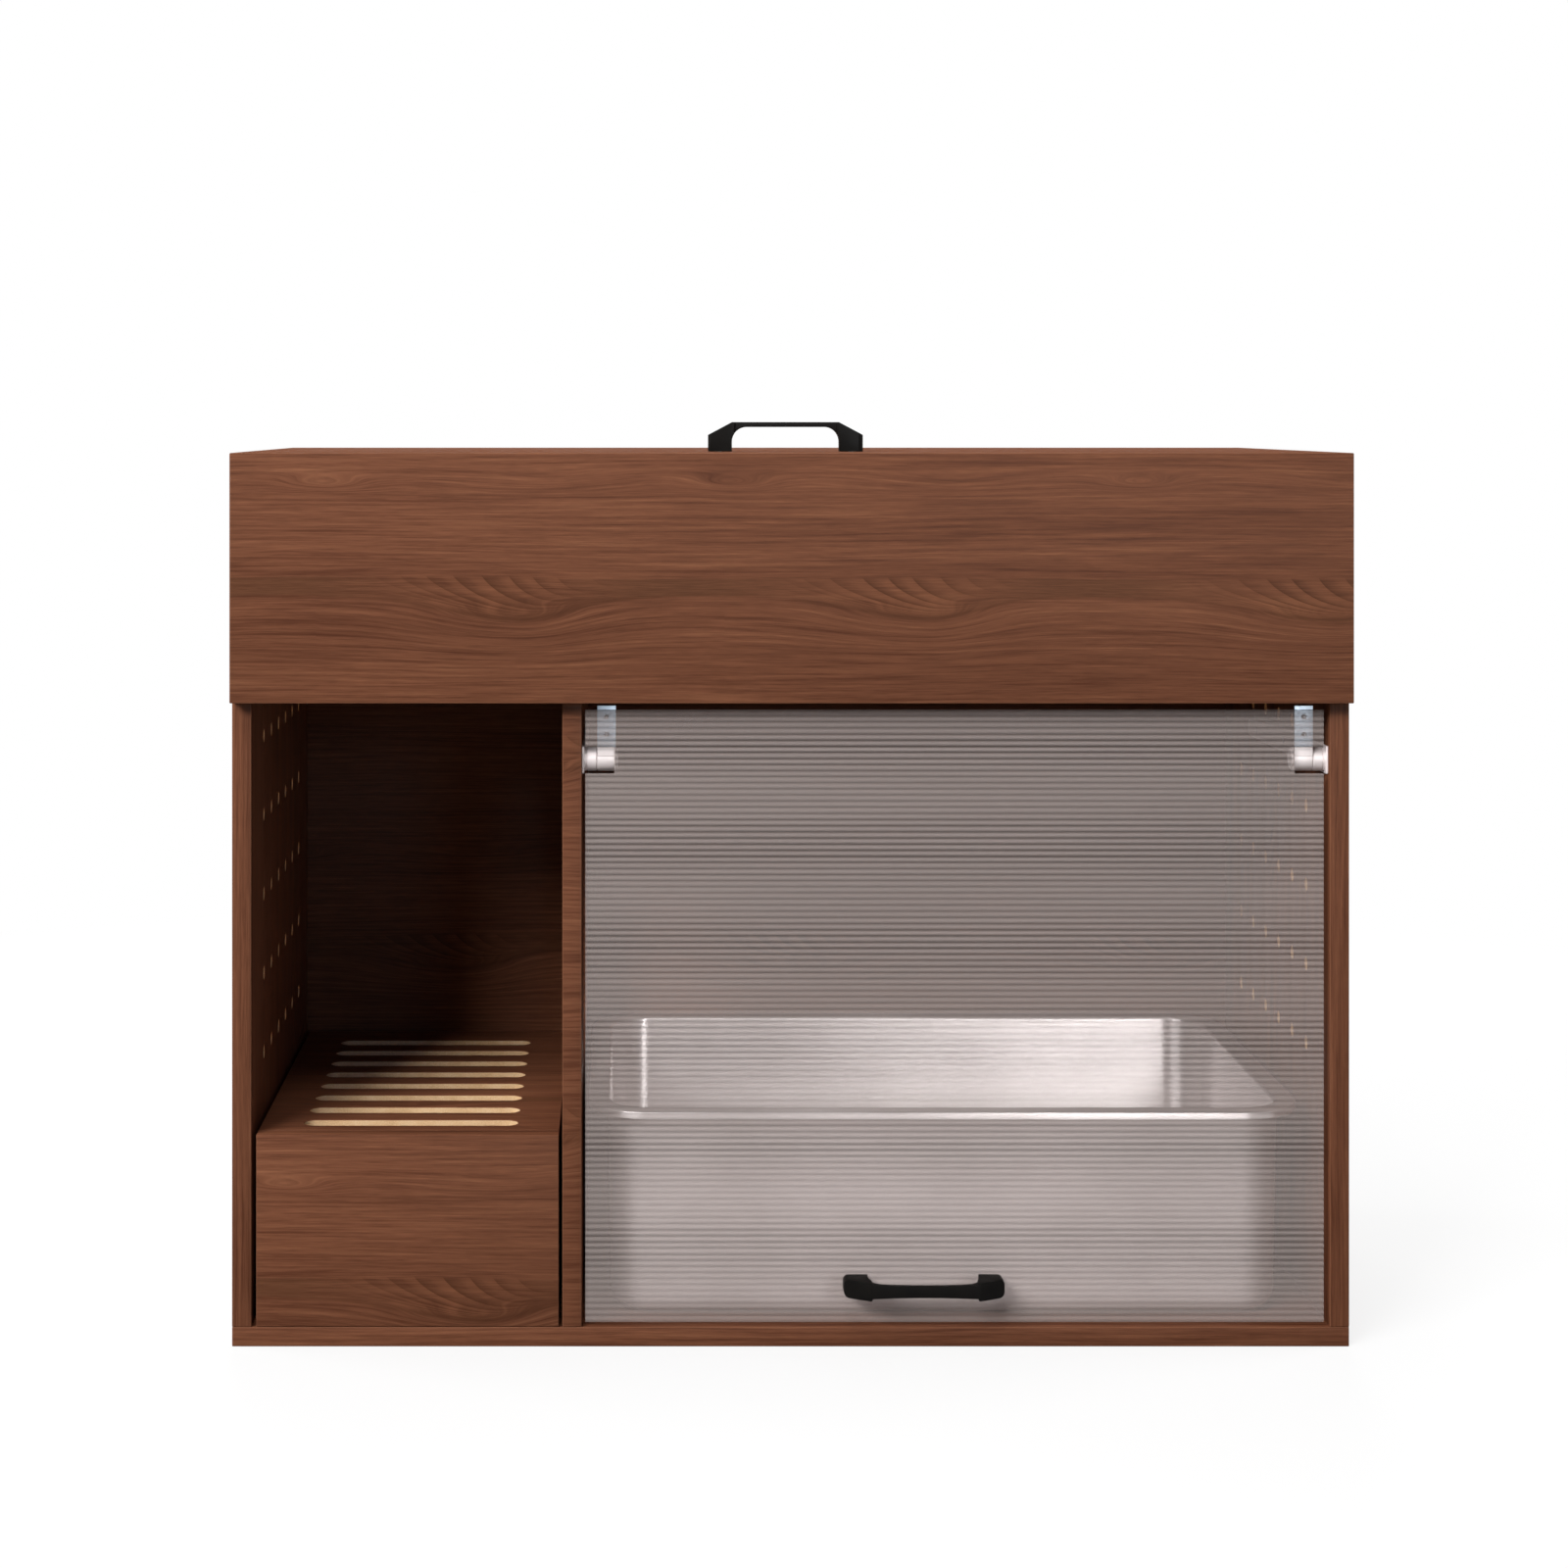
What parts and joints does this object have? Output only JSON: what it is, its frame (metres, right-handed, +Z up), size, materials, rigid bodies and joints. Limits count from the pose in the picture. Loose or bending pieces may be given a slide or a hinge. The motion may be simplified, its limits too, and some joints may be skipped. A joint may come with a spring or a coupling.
{
  "type": "cat litter box cabinet",
  "caption": "Two-bay cabinet that hides a steel litter pan: a lift-up lid, a reeded flap door, and a pull-out litter drawer under a slatted deck.",
  "frame": {"origin": "on the floor, under the middle of the box round the whole cabinet", "axes": "+X to the right seen from the front, +Y to the back, +Z up"},
  "size_m": [0.925, 0.4616, 0.7653],
  "materials": {
    "walnut_board": "satin walnut-grain laminate on board",
    "drawer_bottom_board": "plain hardboard",
    "reeded_sheet": "hazy translucent sheet with fine horizontal reeds",
    "stainless_pan": "bright stainless steel",
    "satin_hinge": "satin",
    "zinc_fastener": "zinc plated",
    "black_handle": "satin black"
  },
  "bodies": {
    "cabinet": {"bottom_panel": "walnut_board", "left_side_panel": "walnut_board", "right_side_panel": "walnut_board", "divider_panel": "walnut_board", "back_panel": "walnut_board", "front_fascia": "walnut_board", "fascia_cam_lock_left_1": "zinc_fastener", "back_cam_lock_left_1": "zinc_fastener", "fascia_cam_lock_left_2": "zinc_fastener", "back_cam_lock_left_2": "zinc_fastener", "door_hinge_strap_left": "satin_hinge", "door_hinge_pin_left": "satin_hinge", "strap_screw_left_1": "zinc_fastener", "strap_screw_left_2": "zinc_fastener", "strap_screw_left_3": "zinc_fastener", "fascia_cam_lock_right_1": "zinc_fastener", "back_cam_lock_right_1": "zinc_fastener", "fascia_cam_lock_right_2": "zinc_fastener", "back_cam_lock_right_2": "zinc_fastener", "door_hinge_strap_right": "satin_hinge", "door_hinge_pin_right": "satin_hinge", "strap_screw_right_1": "zinc_fastener", "strap_screw_right_2": "zinc_fastener", "strap_screw_right_3": "zinc_fastener", "lid_hinge_fixed_leaf_1": "satin_hinge", "lid_hinge_pin_1": "satin_hinge", "lid_hinge_fixed_leaf_2": "satin_hinge", "lid_hinge_pin_2": "satin_hinge", "lid_hinge_screw_back_1": "zinc_fastener", "lid_hinge_screw_back_2": "zinc_fastener", "lid_hinge_screw_back_3": "zinc_fastener", "lid_hinge_screw_back_4": "zinc_fastener"},
    "lid": {"lid_panel": "walnut_board", "lid_handle": "black_handle", "lid_hinge_moving_leaf_1": "satin_hinge", "lid_handle_screw_1": "zinc_fastener", "lid_hinge_moving_leaf_2": "satin_hinge", "lid_handle_screw_2": "zinc_fastener", "lid_hinge_screw_lid_1": "zinc_fastener", "lid_hinge_screw_lid_2": "zinc_fastener", "lid_hinge_screw_lid_3": "zinc_fastener", "lid_hinge_screw_lid_4": "zinc_fastener"},
    "door": {"reeded_door_sheet": "reeded_sheet", "door_handle": "black_handle", "door_hinge_leaf_left": "satin_hinge", "leaf_screw_left_1": "zinc_fastener", "leaf_screw_left_2": "zinc_fastener", "door_hinge_leaf_right": "satin_hinge", "leaf_screw_right_1": "zinc_fastener", "leaf_screw_right_2": "zinc_fastener", "door_handle_screw_1": "zinc_fastener", "door_handle_screw_2": "zinc_fastener"},
    "litter_drawer": {"drawer_front": "walnut_board", "drawer_left_side": "walnut_board", "drawer_right_side": "walnut_board", "drawer_back": "walnut_board", "drawer_bottom": "drawer_bottom_board"},
    "deck": {"slatted_deck": "walnut_board"},
    "pan": {"litter_pan": "stainless_pan"}
  },
  "joints": [
    {"name": "lid_hinge", "type": "hinge", "parent": "cabinet", "child": "lid", "pos_m": [0, 0.2278, 0.72385], "axis": [-1, 0, 0], "range_deg": [0, 95]},
    {"name": "door_hinge", "type": "hinge", "parent": "cabinet", "child": "door", "pos_m": [0, -0.1902, 0.485], "axis": [-1, 0, 0], "range_deg": [0, 100]},
    {"name": "drawer_slide", "type": "slide", "parent": "cabinet", "child": "litter_drawer", "axis": [0, -1, 0], "range_m": [0, 0.32]},
    {"name": "deck_lift", "type": "slide", "parent": "litter_drawer", "child": "deck", "axis": [0, 0, 1], "range_m": [0, 0.2]},
    {"name": "pan_lift", "type": "slide", "parent": "cabinet", "child": "pan", "axis": [0, 0, 1], "range_m": [0, 0.25]}
  ]
}
